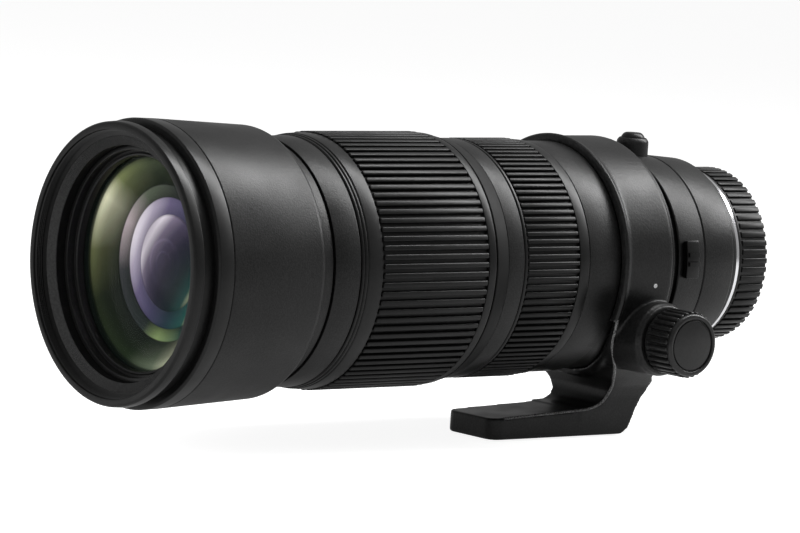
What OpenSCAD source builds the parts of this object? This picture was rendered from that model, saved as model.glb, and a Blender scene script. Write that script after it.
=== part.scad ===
// Camera zoom lens: barrel rings, moving glass groups, iris, tripod collar and bayonet.
// The optical axis is X and points to the camera; the mount flange face is at X = 0.
// Stations are counted along the axis from the front rim.

/* [Front end] */
// bore radius of the filter thread, at its crests
filter_r = 40.6; // [38:0.1:43]
// wall of the front rim around the thread
rim_wall = 2.9; // [2.2:0.1:3.2]
// length of the front rim
rim_len = 3.6; // [2.5:0.1:4.2]
// length of the hood groove behind the rim
groove_len = 4.7; // [3:0.1:6]
// length of the filter thread
thread_len = 3.6; // [3:0.1:6]
// length of the hood ring
hood_len = 5.7; // [4:0.1:8]
// outer radius of the hood ring
hood_r = 44.65; // [43.9:0.05:47]
// length of the front barrel
front_len = 36.4; // [30:0.1:42]
// outer radius of the front barrel at its rear edge
front_rear_r = 42.55; // [42.1:0.05:43.4]
// bore radius of the plain ring in front of the glass
name_bore = 36.3; // [35.6:0.1:37.5]
// depth of that bore down to the glass retainer
name_depth = 4.8; // [2:0.1:6]

/* [Glass] */
// edge radius of the front glass
front_glass_r = 34.2; // [32:0.1:34.6]
// curvature radius of the front surface
front_curve = 110; // [80:1:200]
// wall of the cells around the moving glasses
cell_wall = 3.2; // [2:0.1:5]
// wall of the rear cell around the rear glass
rear_wall = 3.35; // [2.5:0.05:6]

/* [Rings] */
// length of the neck behind the front barrel
neck_len = 15.9; // [12:0.1:20]
// outer radius of the neck
neck_r = 39.4; // [38.4:0.1:39.9]
// length of the zoom ring
zoom_len = 53.4; // [46:0.1:60]
// plain band in front of the zoom grip
zoom_band = 7.6; // [5:0.1:9]
// plain lip behind the zoom grip
zoom_lip = 3.3; // [2:0.1:5]
// radius over the zoom ribs
zoom_grip_r = 40.75; // [40.2:0.05:42]
// number of zoom ribs
zoom_ribs = 88; // [40:1:100]
// length of the sloped ring behind the zoom ring
slope_len = 5.7; // [4:0.1:8]
// length of the plain ring ahead of the focus ring
scale_len = 6.8; // [4:0.1:9]
// outer radius of the plain ring
scale_r = 38.6; // [37.6:0.1:39.6]
// length of the focus ring
focus_len = 27.4; // [24:0.1:32]
// plain lip ahead of the focus grip
focus_front = 1; // [0.8:0.1:3]
// plain band behind the focus grip
focus_band = 4.3; // [3:0.1:6]
// radius over the focus ribs
focus_grip_r = 38.7; // [38.2:0.05:40]
// number of focus ribs
focus_ribs = 100; // [40:1:120]
// rib height of both grips
rib_height = 0.8; // [0.5:0.05:1]
// gap at each turning joint
ring_gap = 0.3; // [0.2:0.05:0.5]

/* [Rear end] */
// length of the fixed barrel ahead of the collar
fixed_len = 13.5; // [12:0.1:18]
// outer radius of the fixed barrel
fixed_r = 37.7; // [37.5:0.05:38.4]
// length of the recess behind the collar
recess_len = 7.1; // [5.5:0.1:9]
// length of the switch barrel
switch_len = 11.9; // [11.6:0.1:15]
// outer radius of the switch barrel at its front
rear_r = 33.85; // [33.4:0.05:34.6]
// length of the mount barrel
mount_len = 14; // [11:0.1:16]
// outer radius of the mount barrel at its rear edge
mount_r = 32.2; // [31.6:0.05:33]
// thickness of the mount plate
plate_thick = 5.2; // [3.6:0.1:6]
// outer radius of the mount plate
plate_r = 29.4; // [28.4:0.1:31]
// outer radius of the bayonet tube
bayonet_r = 23.4; // [23:0.1:24]
// length of the rear cap
cap_len = 13.2; // [11:0.1:16]
// radius over the ribs of the rear cap
cap_r = 29; // [28.2:0.1:31]
// number of ribs on the rear cap
cap_ribs = 61; // [30:1:80]

/* [Tripod collar] */
// width of the collar along the axis
collar_w = 21.2; // [18:0.1:24]
// outer radius of the collar
collar_r = 39.5; // [39:0.1:41]
// distance of the foot base below the axis
foot_drop = 58.4; // [55:0.1:62]
// width of the foot
foot_w = 24; // [20:0.1:30]
// length of the foot
foot_len = 58.5; // [50:0.1:64]
// thickness of the foot at its front end
foot_thick = 7; // [6.4:0.1:7.4]
// radius of the tripod screw bore
socket_r = 3.175; // [3:0.005:3.4]
// radius over the knob ribs
knob_r = 10.7; // [8.6:0.1:11.2]
// length of the knob
knob_len = 12.5; // [10:0.1:18]
// number of ribs on the knob
knob_ribs = 30; // [18:1:40]
// height of the knob axis below the lens axis
knob_drop = 22.5; // [20:0.1:24]

/* [Movements] */
// turn of the zoom ring
zoom_turn = 80; // [60:1:80]
// travel of the variator
variator_travel = 22; // [14:0.5:22]
// travel of the compensator
compensator_travel = 8; // [6:0.5:8]
// turn of the focus ring
focus_turn = 90; // [60:1:90]
// travel of the focusing group
focus_travel = 6; // [4:0.5:6]

/* [Hidden] */
$fn = 96;
fit = 0.05; // between pieces fixed to each other
run = 0.3; // between pieces that move past each other
cut = 1; // how far a cutter stands clear

// stations of the outer rings, front to rear
s_groove = rim_len;
s_hood = s_groove + groove_len;
s_front = s_hood + hood_len + 0.1;
s_neck = s_front + front_len;
s_zoom = s_neck + neck_len + ring_gap;
s_zgrip = s_zoom + zoom_band;
s_zlip = s_zoom + zoom_len - zoom_lip;
s_slope = s_zoom + zoom_len + ring_gap;
s_scale = s_slope + slope_len;
s_focus = s_scale + scale_len + ring_gap;
s_fgrip = s_focus + focus_front;
s_fband = s_focus + focus_len - focus_band;
s_fixed = s_focus + focus_len + ring_gap;
s_collar = s_fixed + fixed_len;
s_retain = s_collar + collar_w + ring_gap;
s_switch = s_retain + recess_len;
s_mount = s_switch + switch_len + 0.1;
s_plate = s_mount + mount_len;
flange = s_plate + plate_thick;
s_cap = flange + run;

// radii, from the outer rings inwards to the glass groups
grip_wall = 1.05;
ring_wall = 1.4;
zoom_seat = zoom_grip_r - rib_height - grip_wall;
focus_seat = focus_grip_r - rib_height - grip_wall + 0.25;
tube_out = min(neck_r - 4, zoom_seat - 3.5, scale_r - 3.2, focus_seat - ring_wall - run, fixed_r - 2.3);
tube_in = tube_out - 1.8;
cam_out = tube_in - 2.6;
cam_in = cam_out - 1.7;
guide_out = cam_in - run;
guide_in = guide_out - 1.5;
cell_r = guide_in - run;
group_glass_r = cell_r - cell_wall;
ring_in = tube_out + run;
seat_in = tube_out + fit;
zoom_bore = zoom_seat - ring_wall;
focus_bore = focus_seat - 1;
rim_r = filter_r + rim_wall;
spigot_r = filter_r + 0.65;
groove_r = filter_r + 1.4;
name_out = filter_r - 1.5;
shell_in = spigot_r + fit;
cell_out = front_glass_r + 3;
collar_in = fixed_r - 0.5;
collar_seat = collar_in - run;
tail_out = rear_r - 1.25;
tail_in = tail_out - 4;
spigot_out = tail_out - 2.2;
board_w = 7.6;
relay_r = tail_in - 4.6;
rear_tail = min(bayonet_r - 2, spigot_out - board_w - 1.4);
rear_glass_r = rear_tail - rear_wall - fit;

// stations of the inner pieces
s_name_end = max(thread_len, s_hood) + 5;
s_glass = thread_len + name_depth + 1;
sag = front_curve - sqrt(pow(front_curve, 2) - pow(front_glass_r, 2));
s_tube = s_neck - 2.8;
s_guide = s_tube + 10;
s_gflange = s_fixed + 10.2;
s_cam = s_guide + 4;
s_fcam = s_focus + 0.4;
s_cam_end = s_fcam - 1.5;
s_fcam_end = s_focus + focus_len + 0.4;
pin_r = 1.5;
slot_r = pin_r + run;
variator_len = 16;
compensator_len = 12;
focus_cell_len = 12;
s_variator = s_cam + 2;
s_compensator = s_cam_end - 3.4 - compensator_travel - compensator_len;
s_fcell = s_fcam + focus_travel + 1;
s_vpin = s_variator + variator_len / 2;
s_cpin = s_compensator + compensator_len / 2;
s_fpin = s_fcell + focus_cell_len / 2;
key_len = 5;
s_zkey = (s_vpin + variator_travel + s_cpin) / 2 - key_len / 2;
s_fkey = s_fpin + 5;
key_angle = 10;
land = 3;
iris_gap = 2;
s_iris = s_gflange + 4 + iris_gap;
iris_len = 9;
s_rcell = s_iris + iris_len + iris_gap;
blades = 7;
iris_out = tube_in - 0.2;
pivot_at = iris_out - 4.1;
drive_at = pivot_at - 4.7;
blade_out = pivot_at - 6.8;
blade_in = blade_out - 5.1;
blade_pitch = 0.36;
s_iring = s_iris + 5.2;
board_thick = 1.6;
s_board = s_mount - 1.3 - board_thick;

// collar and knob places, in the lens frame
x_collar = s_collar - flange;
x_leg = x_collar + collar_w;
x_knob = x_leg - 5;
boss_r = knob_r + 1.3;
boss_y = collar_r + 4.2;
knob_y = boss_y + run;
pad_y = collar_r - 4.5;
foot_front = x_leg + 9.4 - foot_len;
x_bush = foot_front + foot_len * 0.5;
bush_r = 5.5;
foot_round = 4;
bush_len = foot_thick - 1.2;

// switch and catch places
switch_angle = 4;
switch_w = 6;
switch_half = 10;
switch_swing = 3;
pocket_r = rear_r - 1.05;
s_slider = s_switch + 1.9;
x_catch = s_switch + 6.4 - flange;
catch_r = 5.3;
catch_top = rear_r + 5.4;
button_r = 3.9;
button_top = rear_r + 6.85;

// turns a shape built along Z, with its station as height, into the lens frame
module on_axis() rotate([0, 90, 0]) translate([0, 0, -flange]) children();

// a ring from points of radius and station
module lathe(points) on_axis() rotate_extrude() polygon(points);

// a plain tube between two stations
module tube(r_in, r_out, s0, s1) lathe([[r_in, s0], [r_out, s0], [r_out, s1], [r_in, s1]]);

// part of a tube, centred on an angle about the axis
module sector(r_in, r_out, s0, s1, angle, span)
    on_axis() rotate([0, 0, angle - span / 2]) rotate_extrude(angle = span)
        polygon([[r_in, s0], [r_out, s0], [r_out, s1], [r_in, s1]]);

// a ribbed outline: flat ribs with sloped flanks
function ribs(n, r, h) = [for (i = [0 : n - 1]) for (k = [0 : 3])
    let (a = 360 / n * (i + [0, 0.1, 0.62, 0.72][k]), q = k == 1 || k == 2 ? r : r - h)
    [q * cos(a), q * sin(a)]];

// a glass between two vertex stations; a negative curve is hollow
module glass(r, s0, s1, c0, c1) {
    g0 = abs(c0) - sqrt(c0 * c0 - r * r);
    g1 = abs(c1) - sqrt(c1 * c1 - r * r);
    a = c0 < 0 ? s0 - g0 : s0;
    b = c1 < 0 ? s1 + g1 : s1;
    on_axis() rotate_extrude() difference() {
        intersection() {
            translate([0, a]) square([r, b - a]);
            if (c0 > 0) translate([0, s0 + c0]) circle(r = c0, $fn = 720);
            if (c1 > 0) translate([0, s1 - c1]) circle(r = c1, $fn = 720);
        }
        if (c0 < 0) translate([0, s0 + c0]) circle(r = -c0, $fn = 720);
        if (c1 < 0) translate([0, s1 - c1]) circle(r = -c1, $fn = 720);
    }
}

// a guide pin standing out of a cell at an angle
module pin(s, angle) on_axis() rotate([0, 0, angle]) translate([cell_r - 1.2, 0, s])
    rotate([0, 90, 0]) cylinder(h = cam_out - 0.2 - cell_r + 1.2, r = pin_r);

// the hole that takes a guide pin
module pin_hole(s, angle) on_axis() rotate([0, 0, angle]) translate([cell_r - 1.2, 0, s])
    rotate([0, 90, 0]) cylinder(h = 4, r = pin_r + 0.02);

// a straight slot that lets a pin travel
module straight_slot(s0, s1, angle) on_axis() rotate([0, 0, angle])
    translate([guide_in - cut, -slot_r, s0 - slot_r])
        cube([3.2, 2 * slot_r, s1 - s0 + 2 * slot_r]);

// a helical slot that drives a pin while its tube turns
module cam_slot(s, travel, turn, angle) {
    rise = abs(travel);
    lead = atan(rise / (cam_out * turn * PI / 180));
    half = slot_r / sin(lead) / cam_out * 180 / PI;
    stretch = (rise + 2 * slot_r) / rise;
    spare = asin(slot_r / cam_in) + 1;
    way = travel > 0 ? 1 : -1;
    low = min(s, s + travel);
    on_axis() rotate([0, 0, angle]) intersection() {
        rotate([0, 0, way * turn / 2 * stretch - turn / 2]) translate([0, 0, low - slot_r])
            linear_extrude(height = rise + 2 * slot_r, twist = way * turn * stretch, slices = 16, $fn = 6)
                polygon([for (k = [-1, 0, 1]) (cam_in - cut) * [cos(k * half), sin(k * half)],
                    for (k = [1, 0, -1]) (cam_out + 2 * cut) * [cos(k * half), sin(k * half)]]);
        rotate([0, 0, -turn - spare]) translate([0, 0, low - slot_r - cut])
            rotate_extrude(angle = turn + 2 * spare)
                translate([cam_in - cut / 2, 0]) square([cam_out - cam_in + cut, rise + 2 * slot_r + 2 * cut]);
    }
}

// a bar along X with a front outline of y and z points
module along_x(x0, x1, outline) translate([x0, 0, 0]) rotate([90, 0, 90])
    linear_extrude(x1 - x0) polygon(outline);

// a bar along Y with a side outline of x and z points
module along_y(half, outline) translate([0, half, 0]) rotate([90, 0, 0])
    linear_extrude(2 * half) polygon(outline);

// a rod pointing to the knob side
module knob_rod(y0, y1, r) translate([x_knob, -y0, -knob_drop]) rotate([90, 0, 0])
    cylinder(h = y1 - y0, r = r);

module filter_ring() color("#2b2b2d") lathe([[filter_r + 0.5, 0], [rim_r - 0.6, 0],
    [rim_r, 0.6], [rim_r + 0.2, s_groove], [groove_r, s_groove + 0.01], [groove_r, s_hood],
    [spigot_r, s_hood], [spigot_r, s_name_end], [name_out, s_name_end],
    [name_out, thread_len], [filter_r, thread_len], [filter_r, 0.5]]);

module name_ring() color("#202022") tube(name_bore, name_out - fit, thread_len, s_name_end);

module glass_retainer() color("#18181a") lathe([[name_bore - 1.5, s_glass - 1],
    [name_bore - fit, s_glass - 1], [name_bore - fit, s_name_end], [front_glass_r - 1.2, s_name_end],
    [front_glass_r - 1.2, s_glass + 1.6], [name_bore - 1.5, s_glass + 1.6]]);

module front_element() color("#9fb8c0", 0.5)
    glass(front_glass_r, s_name_end - sag + 0.6, s_name_end + 7, front_curve, 600);

module second_element() color("#9fb8c0", 0.5)
    glass(front_glass_r, s_name_end + 12, s_name_end + 15, -400, -180);

module front_cell() color("#161617") lathe([[front_glass_r + fit, s_name_end],
    [spigot_r - run, s_name_end], [spigot_r - run, s_name_end + 2], [cell_out, s_name_end + 2],
    [cell_out, s_tube - 2], [front_glass_r + fit, s_tube - 2]]);

module hood_ring() color("#1c1c1e") lathe([[shell_in, s_hood], [hood_r - 0.6, s_hood],
    [hood_r, s_hood + 0.6], [hood_r - 0.15, s_front - 0.1], [shell_in, s_front - 0.1]]);

module front_barrel() color("#242426") lathe([[shell_in, s_front - 0.1],
    [hood_r - 0.65, s_front - 0.1], [hood_r - 0.15, s_front + 0.4], [front_rear_r + 0.08, s_neck - 1.4],
    [front_rear_r - 0.4, s_neck - 0.4], [front_rear_r - 1, s_neck], [shell_in, s_neck]]);

module neck_ring() color("#242426") lathe([[cell_out + fit, s_tube - 4], [spigot_r, s_tube - 4],
    [spigot_r, s_neck], [neck_r - 0.8, s_neck], [neck_r - 0.8, s_neck + 5.5],
    [neck_r - 1.6, s_neck + 5.5], [neck_r - 1.6, s_neck + 6.1], [neck_r - 0.3, s_neck + 6.1],
    [neck_r, s_neck + neck_len - 0.3], [neck_r - 0.3, s_neck + neck_len],
    [seat_in, s_neck + neck_len], [seat_in, s_tube], [cell_out + fit, s_tube]]);

module main_tube() color("#6d6f73") difference() {
    tube(tube_in, tube_out, s_tube, s_gflange - 1.2);
    sector(tube_in - cut, tube_out + cut, s_zkey - run, s_zkey + key_len + run,
        180 + zoom_turn / 2, zoom_turn + key_angle + 2);
    sector(tube_in - cut, tube_out + cut, s_fkey - run, s_fkey + key_len + run,
        180 + focus_turn / 2, focus_turn + key_angle + 2);
}

module guide_tube() color("#7a7c80") difference() {
    lathe([[guide_in, s_guide], [tube_in - fit, s_guide], [tube_in - fit, s_guide + 2],
        [guide_out, s_guide + 2], [guide_out, s_gflange], [iris_out, s_gflange],
        [iris_out, s_gflange + 4], [guide_in, s_gflange + 4]]);
    for (a = [0, 120, 240]) {
        straight_slot(s_vpin, s_vpin + variator_travel, a);
        straight_slot(s_cpin, s_cpin + compensator_travel, a + 60);
    }
    for (a = [90, 270]) straight_slot(s_fpin - focus_travel, s_fpin, a);
}

module slope_ring() color("#1c1c1e") lathe([[seat_in, s_slope], [scale_r + 1.2, s_slope],
    [scale_r + 1.4, s_slope + 0.3], [scale_r + 0.1, s_scale], [seat_in, s_scale]]);

module scale_ring() color("#242426") lathe([[seat_in, s_scale], [scale_r - 0.3, s_scale],
    [scale_r, s_scale + 0.3], [scale_r, s_scale + scale_len - 0.3],
    [scale_r - 0.3, s_scale + scale_len], [seat_in, s_scale + scale_len]]);

module main_barrel() color("#242426") lathe([[seat_in, s_fixed], [fixed_r - 0.3, s_fixed],
    [fixed_r, s_fixed + 0.3], [fixed_r, s_collar - ring_gap], [collar_seat, s_collar - ring_gap],
    [collar_seat, s_retain], [fixed_r + 0.4, s_retain], [fixed_r + 0.4, s_retain + 1.2],
    [tail_out, s_retain + 1.2], [tail_out, s_switch], [spigot_out, s_switch],
    [spigot_out, s_switch + 7.2], [tail_in, s_switch + 7.2], [tail_in, s_rcell],
    [iris_out + fit, s_rcell], [iris_out + fit, s_gflange - 1.2], [seat_in, s_gflange - 1.2]]);

module motor_stator() color("#a8803c") tube(guide_out + fit, iris_out, s_fcam_end + 2.3, s_gflange);

module iris_housing() color("#3a3b3e") {
    lathe([[blade_in - 0.4, s_iris], [iris_out, s_iris], [iris_out, s_iris + iris_len],
        [iris_out - 2, s_iris + iris_len], [iris_out - 2, s_iris + 1], [blade_in - 0.4, s_iris + 1]]);
    on_axis() for (i = [0 : blades - 1]) rotate([0, 0, i * 360 / blades])
        translate([pivot_at, 0, s_iris + 0.8]) cylinder(h = 4.1, r = 0.8);
}

module rear_cell() color("#161617") lathe([[relay_r + fit, s_rcell],
    [tail_in - fit, s_rcell], [tail_in - fit, s_switch + 7.2], [rear_tail, s_switch + 7.2],
    [rear_tail, s_plate - 1], [rear_glass_r + fit, s_plate - 1],
    [rear_glass_r + fit, s_rcell + 16], [relay_r + fit, s_rcell + 16]]);

module relay_element() color("#9fb8c0", 0.5)
    glass(relay_r, s_rcell + 3, s_rcell + 12, 90, 140);

module rear_element() color("#9fb8c0", 0.5)
    glass(rear_glass_r, s_rcell + 22, s_rcell + 28, 60, 200);

module circuit_board() color("#1e5a34")
    tube(spigot_out - board_w, spigot_out, s_board, s_board + board_thick);

// the outer wall of the switch barrel, as a solid
module switch_shape(r_in, grow) lathe([[r_in, s_switch], [rear_r - 0.3 + grow, s_switch],
    [rear_r + grow, s_switch + 0.4], [rear_r - 0.6 + grow, s_mount - 0.4],
    [rear_r - 0.9 + grow, s_mount - 0.1], [r_in, s_mount - 0.1]]);

module switch_barrel() color("#242426") {
    difference() {
        switch_shape(spigot_out + fit, 0);
        sector(pocket_r, rear_r + 2, s_slider - 0.8, s_slider + switch_w + 0.8, -90 - switch_angle,
            2 * (switch_half + switch_swing) + 2);
        sector(spigot_out - 1, rear_r + 2, s_slider + 1.6, s_slider + switch_w - 1.6,
            -90 - switch_angle, 2 * switch_swing + 8);
    }
    lathe([[tail_in, s_mount - 1.3], [spigot_out + 0.5, s_mount - 1.3], [spigot_out + 0.5, s_mount - 0.1],
        [spigot_out, s_mount - 0.1], [spigot_out, s_mount + 5], [tail_in, s_mount + 5]]);
}

module mount_barrel() color("#242426") lathe([[spigot_out + fit, s_mount - 0.1],
    [rear_r - 0.9, s_mount - 0.1], [rear_r - 0.6, s_mount + 0.2], [mount_r, s_plate - 0.5],
    [mount_r - 0.5, s_plate], [bayonet_r, s_plate], [bayonet_r, s_plate - 3.6],
    [tail_in - 2, s_plate - 3.6], [tail_in - 2, s_mount + 5], [spigot_out + fit, s_mount + 5]]);

module mount_plate() color("#c9ccd0") {
    difference() {
        lathe([[bayonet_r - 1.8, s_plate], [plate_r - 0.4, s_plate], [plate_r, s_plate + 0.4],
            [plate_r, flange - 0.4], [plate_r - 0.4, flange], [bayonet_r, flange],
            [bayonet_r, flange + 6.5], [bayonet_r - 1.8, flange + 6.5]]);
        on_axis() for (a = [45 : 90 : 315]) rotate([0, 0, a]) translate([bayonet_r + 2.9, 0, 0]) {
            translate([0, 0, s_plate - cut]) cylinder(h = plate_thick + 2 * cut, r = 1.05);
            translate([0, 0, flange - 1.3]) cylinder(h = 1.3 + cut, r = 2.05);
        }
    }
    for (a = [0, 120, 240])
        sector(bayonet_r - 0.5, bayonet_r + 1.9, flange + 4.6, flange + 6.1, a, 56);
}

module mount_screws() color("#9a9da2") on_axis() for (a = [45 : 90 : 315]) rotate([0, 0, a])
    translate([bayonet_r + 2.9, 0, 0]) {
        translate([0, 0, s_plate]) cylinder(h = plate_thick - 1.3, r = 1);
        translate([0, 0, flange - 1.3]) cylinder(h = 1.2, r = 2);
    }

module rear_baffle() color("#111112") difference() {
    tube(8, bayonet_r - 1.8 - fit, s_plate - 1, s_plate + 0.8);
    translate([s_plate - 2 - flange, -15, -11]) cube([4, 30, 22]);
}

module contact_block() color("#b99a4e")
    sector(bayonet_r - 4.4, bayonet_r - 1.8 - fit, s_plate + 0.8, flange + 5.5, 0, 70);

module catch_housing() color("#242426") difference() {
    translate([x_catch, 0, rear_r - 4]) rotate_extrude() polygon([[0, 0], [catch_r, 0],
        [catch_r, catch_top - rear_r + 2.8], [catch_r - 1, catch_top - rear_r + 4], [0, catch_top - rear_r + 4]]);
    switch_shape(0, fit);
    translate([x_catch, 0, rear_r + 1.4]) cylinder(h = catch_top - rear_r, r = button_r + run);
}

module catch_spring() color("#9a9da2") translate([x_catch, 0, rear_r + 1.4]) rotate_extrude()
    polygon([[2.2, 0], [3, 0], [2.5, 0.8], [3, 1.6], [2.5, 2.4], [3, 3.2], [2.2, 3.2],
        [1.7, 2.4], [2.2, 1.6], [1.7, 0.8]]);

module zoom_ring() color("#1c1c1e") difference() {
    lathe([[ring_in, s_zoom], [neck_r - 0.4, s_zoom],
    [neck_r + 0.2, s_zoom + 0.3], [neck_r + 0.2, s_zoom + 0.9], [neck_r - 0.1, s_zoom + 1.1],
    [neck_r + 0.5, s_zoom + 1.4], [neck_r + 0.5, s_zoom + 2], [neck_r + 0.2, s_zoom + 2.2],
    [neck_r + 0.7, s_zoom + 2.5], [zoom_grip_r - 0.45, s_zgrip], [zoom_seat, s_zgrip],
    [zoom_seat, s_zlip], [zoom_grip_r - 0.3, s_zlip], [zoom_grip_r - 0.4, s_zlip + zoom_lip - 0.5],
    [zoom_grip_r - 0.9, s_zlip + zoom_lip], [ring_in, s_zlip + zoom_lip]]);
    tube(ring_in - cut, zoom_bore, s_zgrip, s_zkey - land);
    tube(ring_in - cut, zoom_bore, s_zkey + key_len + land, s_zlip);
    sector(ring_in - cut, ring_in + 0.6, s_zkey, s_zkey + key_len, 180, key_angle);
}

module zoom_grip() color("#161616") on_axis() translate([0, 0, s_zgrip]) difference() {
    linear_extrude(s_zlip - s_zgrip) polygon(ribs(zoom_ribs, zoom_grip_r, rib_height));
    translate([0, 0, -cut]) cylinder(h = zoom_len + 2 * cut, r = zoom_seat);
}

module cam_tube() color("#b08d57") {
    difference() {
        tube(cam_in, cam_out, s_cam, s_cam_end);
        for (a = [0, 120, 240]) {
            cam_slot(s_vpin, variator_travel, zoom_turn, a);
            cam_slot(s_cpin, compensator_travel, zoom_turn, a + 60);
        }
    }
    sector(cam_out - 0.5, ring_in + 0.55, s_zkey, s_zkey + key_len, 180, key_angle);
}

module variator_cell() color("#161617") difference() {
    tube(group_glass_r + fit, cell_r, s_variator, s_variator + variator_len);
    for (a = [0, 120, 240]) pin_hole(s_vpin, a);
}

module variator_element() color("#9fb8c0", 0.5)
    glass(group_glass_r, s_variator + 6, s_variator + 9, -120, -70);

module variator_pins() color("#9a9da2") for (a = [0, 120, 240]) pin(s_vpin, a);

module compensator_cell() color("#161617") difference() {
    tube(group_glass_r + fit, cell_r, s_compensator, s_compensator + compensator_len);
    for (a = [60, 180, 300]) pin_hole(s_cpin, a);
}

module compensator_element() color("#9fb8c0", 0.5)
    glass(group_glass_r, s_compensator + 1.5, s_compensator + 10, 95, 120);

module compensator_pins() color("#9a9da2") for (a = [60, 180, 300]) pin(s_cpin, a);

module focus_ring() color("#1c1c1e") difference() {
    lathe([[ring_in, s_focus], [focus_grip_r - 0.5, s_focus],
    [focus_grip_r - 0.2, s_focus + 0.3], [focus_grip_r - 0.2, s_fgrip], [focus_seat, s_fgrip],
    [focus_seat, s_fband], [focus_grip_r - 0.3, s_fband],
    [focus_grip_r - 0.5, s_fband + focus_band - 0.3], [focus_grip_r - 0.8, s_fband + focus_band],
    [ring_in, s_fband + focus_band]]);
    tube(ring_in - cut, focus_bore, s_fgrip + 1, s_fkey - land);
    sector(ring_in - cut, ring_in + 0.6, s_fkey, s_fkey + key_len, 180, key_angle);
}

module focus_grip() color("#161616") on_axis() translate([0, 0, s_fgrip]) difference() {
    linear_extrude(s_fband - s_fgrip) polygon(ribs(focus_ribs, focus_grip_r, rib_height));
    translate([0, 0, -cut]) cylinder(h = focus_len + 2 * cut, r = focus_seat);
}

module focus_cam() color("#b08d57") {
    difference() {
        tube(cam_in, cam_out, s_fcam, s_fcam_end);
        for (a = [90, 270]) cam_slot(s_fpin, -focus_travel, focus_turn, a);
    }
    sector(cam_out - 0.5, ring_in + 0.55, s_fkey, s_fkey + key_len, 180, key_angle);
}

module motor_rotor() color("#8a8c90") tube(cam_in, tube_in - 0.6, s_fcam_end, s_fcam_end + 2);

module focus_cell() color("#161617") difference() {
    tube(group_glass_r + fit, cell_r, s_fcell, s_fcell + focus_cell_len);
    for (a = [90, 270]) pin_hole(s_fpin, a);
}

module focus_element() color("#9fb8c0", 0.5)
    glass(group_glass_r, s_fcell + 3.5, s_fcell + 6.5, -140, -90);

module focus_pins() color("#9a9da2") for (a = [90, 270]) pin(s_fpin, a);

module iris_ring() color("#8a8c90") difference() {
    tube(blade_in + 1.6, iris_out - 2 - run, s_iring, s_iring + 2);
    on_axis() for (i = [0 : blades - 1]) rotate([0, 0, i * 360 / blades])
        translate([drive_at - 1.4, -1.1, s_iring - cut]) cube([3.4, 2.2, 2 + 2 * cut]);
}

// one iris blade with its drive stud, at its own level
module blade(i) color("#2f3033") on_axis() rotate([0, 0, i * 360 / blades])
    translate([0, 0, s_iris + 1.4 + i * blade_pitch]) {
        rotate([0, 0, -90]) rotate_extrude(angle = 94)
            polygon([[blade_in, 0], [blade_out, 0], [blade_out, 0.22], [blade_in, 0.22]]);
        difference() {
            union() {
                translate([blade_in + 3, -2, 0]) cube([pivot_at - blade_in - 3, 4, 0.22]);
                translate([pivot_at, 0, 0]) cylinder(h = 0.22, r = 1.9);
            }
            translate([pivot_at, 0, -cut]) cylinder(h = 3, r = 1.1);
        }
        translate([drive_at, 0, 0]) cylinder(h = s_iring + 1.6 - s_iris - 1.4 - i * blade_pitch, r = 0.7);
    }

module tripod_collar() color("#242426") difference() {
    union() {
        lathe([[collar_in, s_collar], [collar_r + 0.3, s_collar], [collar_r + 0.8, s_collar + 0.5],
            [collar_r + 0.8, s_collar + 1.5], [collar_r, s_collar + 2.3],
            [collar_r, s_collar + collar_w - 0.6], [collar_r - 0.6, s_collar + collar_w],
            [collar_in, s_collar + collar_w]]);
        intersection() {
            along_x(x_collar, x_leg + 16, [[-30, -26], [30, -26], [28.5, -30], [26, -33.5], [20.5, -38],
                [16, -42], [13.4, -46], [foot_w / 2 + 0.4, -50], [foot_w / 2, -foot_drop + 3],
                [foot_w / 2, -foot_drop], [-foot_w / 2, -foot_drop], [-foot_w / 2, -foot_drop + 3],
                [-foot_w / 2 - 0.4, -50], [-13.4, -46], [-16, -42], [-20.5, -38], [-26, -33.5], [-28.5, -30]]);
            along_y(31, [[x_leg - 13.5, -26], [x_leg - 10.5, -34], [x_leg - 7, -37.5], [x_leg - 3.6, -40],
                [x_leg - 2.4, -43], [x_leg - 2.6, -45.6], [x_leg - 4, -47.8], [x_leg - 7, -49.2],
                [x_leg - 12, -49.5], [x_leg - 12, -foot_drop], [x_leg + 7, -foot_drop],
                [x_leg + 9.6, -foot_drop + 1.8], [x_leg + 11.6, -foot_drop + 6], [x_leg + 14.4, -44],
                [x_leg + 14, -40], [x_leg + 10, -36.5], [x_leg + 5, -34], [x_leg, -32], [x_leg, -26]]);
        }
        intersection() {
            translate([foot_front, -foot_w / 2, -foot_drop]) linear_extrude(12) {
                translate([0, foot_round]) square([foot_len - 9, foot_w - 2 * foot_round]);
                translate([foot_round, 0]) square([foot_len - 9 - foot_round, foot_w]);
                for (c = [foot_round, foot_w - foot_round]) translate([foot_round, c]) circle(r = foot_round);
            }
            along_y(31, [[foot_front - cut, -foot_drop - cut], [x_leg, -foot_drop - cut],
                [x_leg, -foot_drop + foot_thick + 2], [foot_front - cut, -foot_drop + foot_thick]]);
        }
        knob_rod(knob_drop, boss_y - 1.6, boss_r);
        knob_rod(knob_drop, boss_y, boss_r - 0.7);
    }
    along_y(50, [[x_collar - cut, -17], [x_collar + 1.8, -17], [x_collar + 4.2, -26], [x_collar + 8, -33],
        [x_collar + 13, -38], [x_collar + 13, -43], [x_collar - cut, -43]]);
    tube(0, collar_in, s_collar - 5, s_collar + collar_w);
    tube(0, fixed_r + 0.8, s_collar + collar_w - 0.01, s_mount);
    tube(0, focus_grip_r + 1.2, s_zoom, s_collar - 0.01);
    tube(0, button_top + run, x_catch + flange - catch_r - run, s_mount);
    knob_rod(0, boss_y + cut, 3.3);
    translate([x_bush, 0, -foot_drop - cut]) cylinder(h = bush_len + cut, r = bush_r);
}

module tripod_bush() color("#9a9da2") translate([x_bush, 0, -foot_drop]) difference() {
    cylinder(h = bush_len, r = bush_r - 0.02);
    translate([0, 0, -cut]) cylinder(h = bush_len + cut - 0.8, r = socket_r);
}

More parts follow.
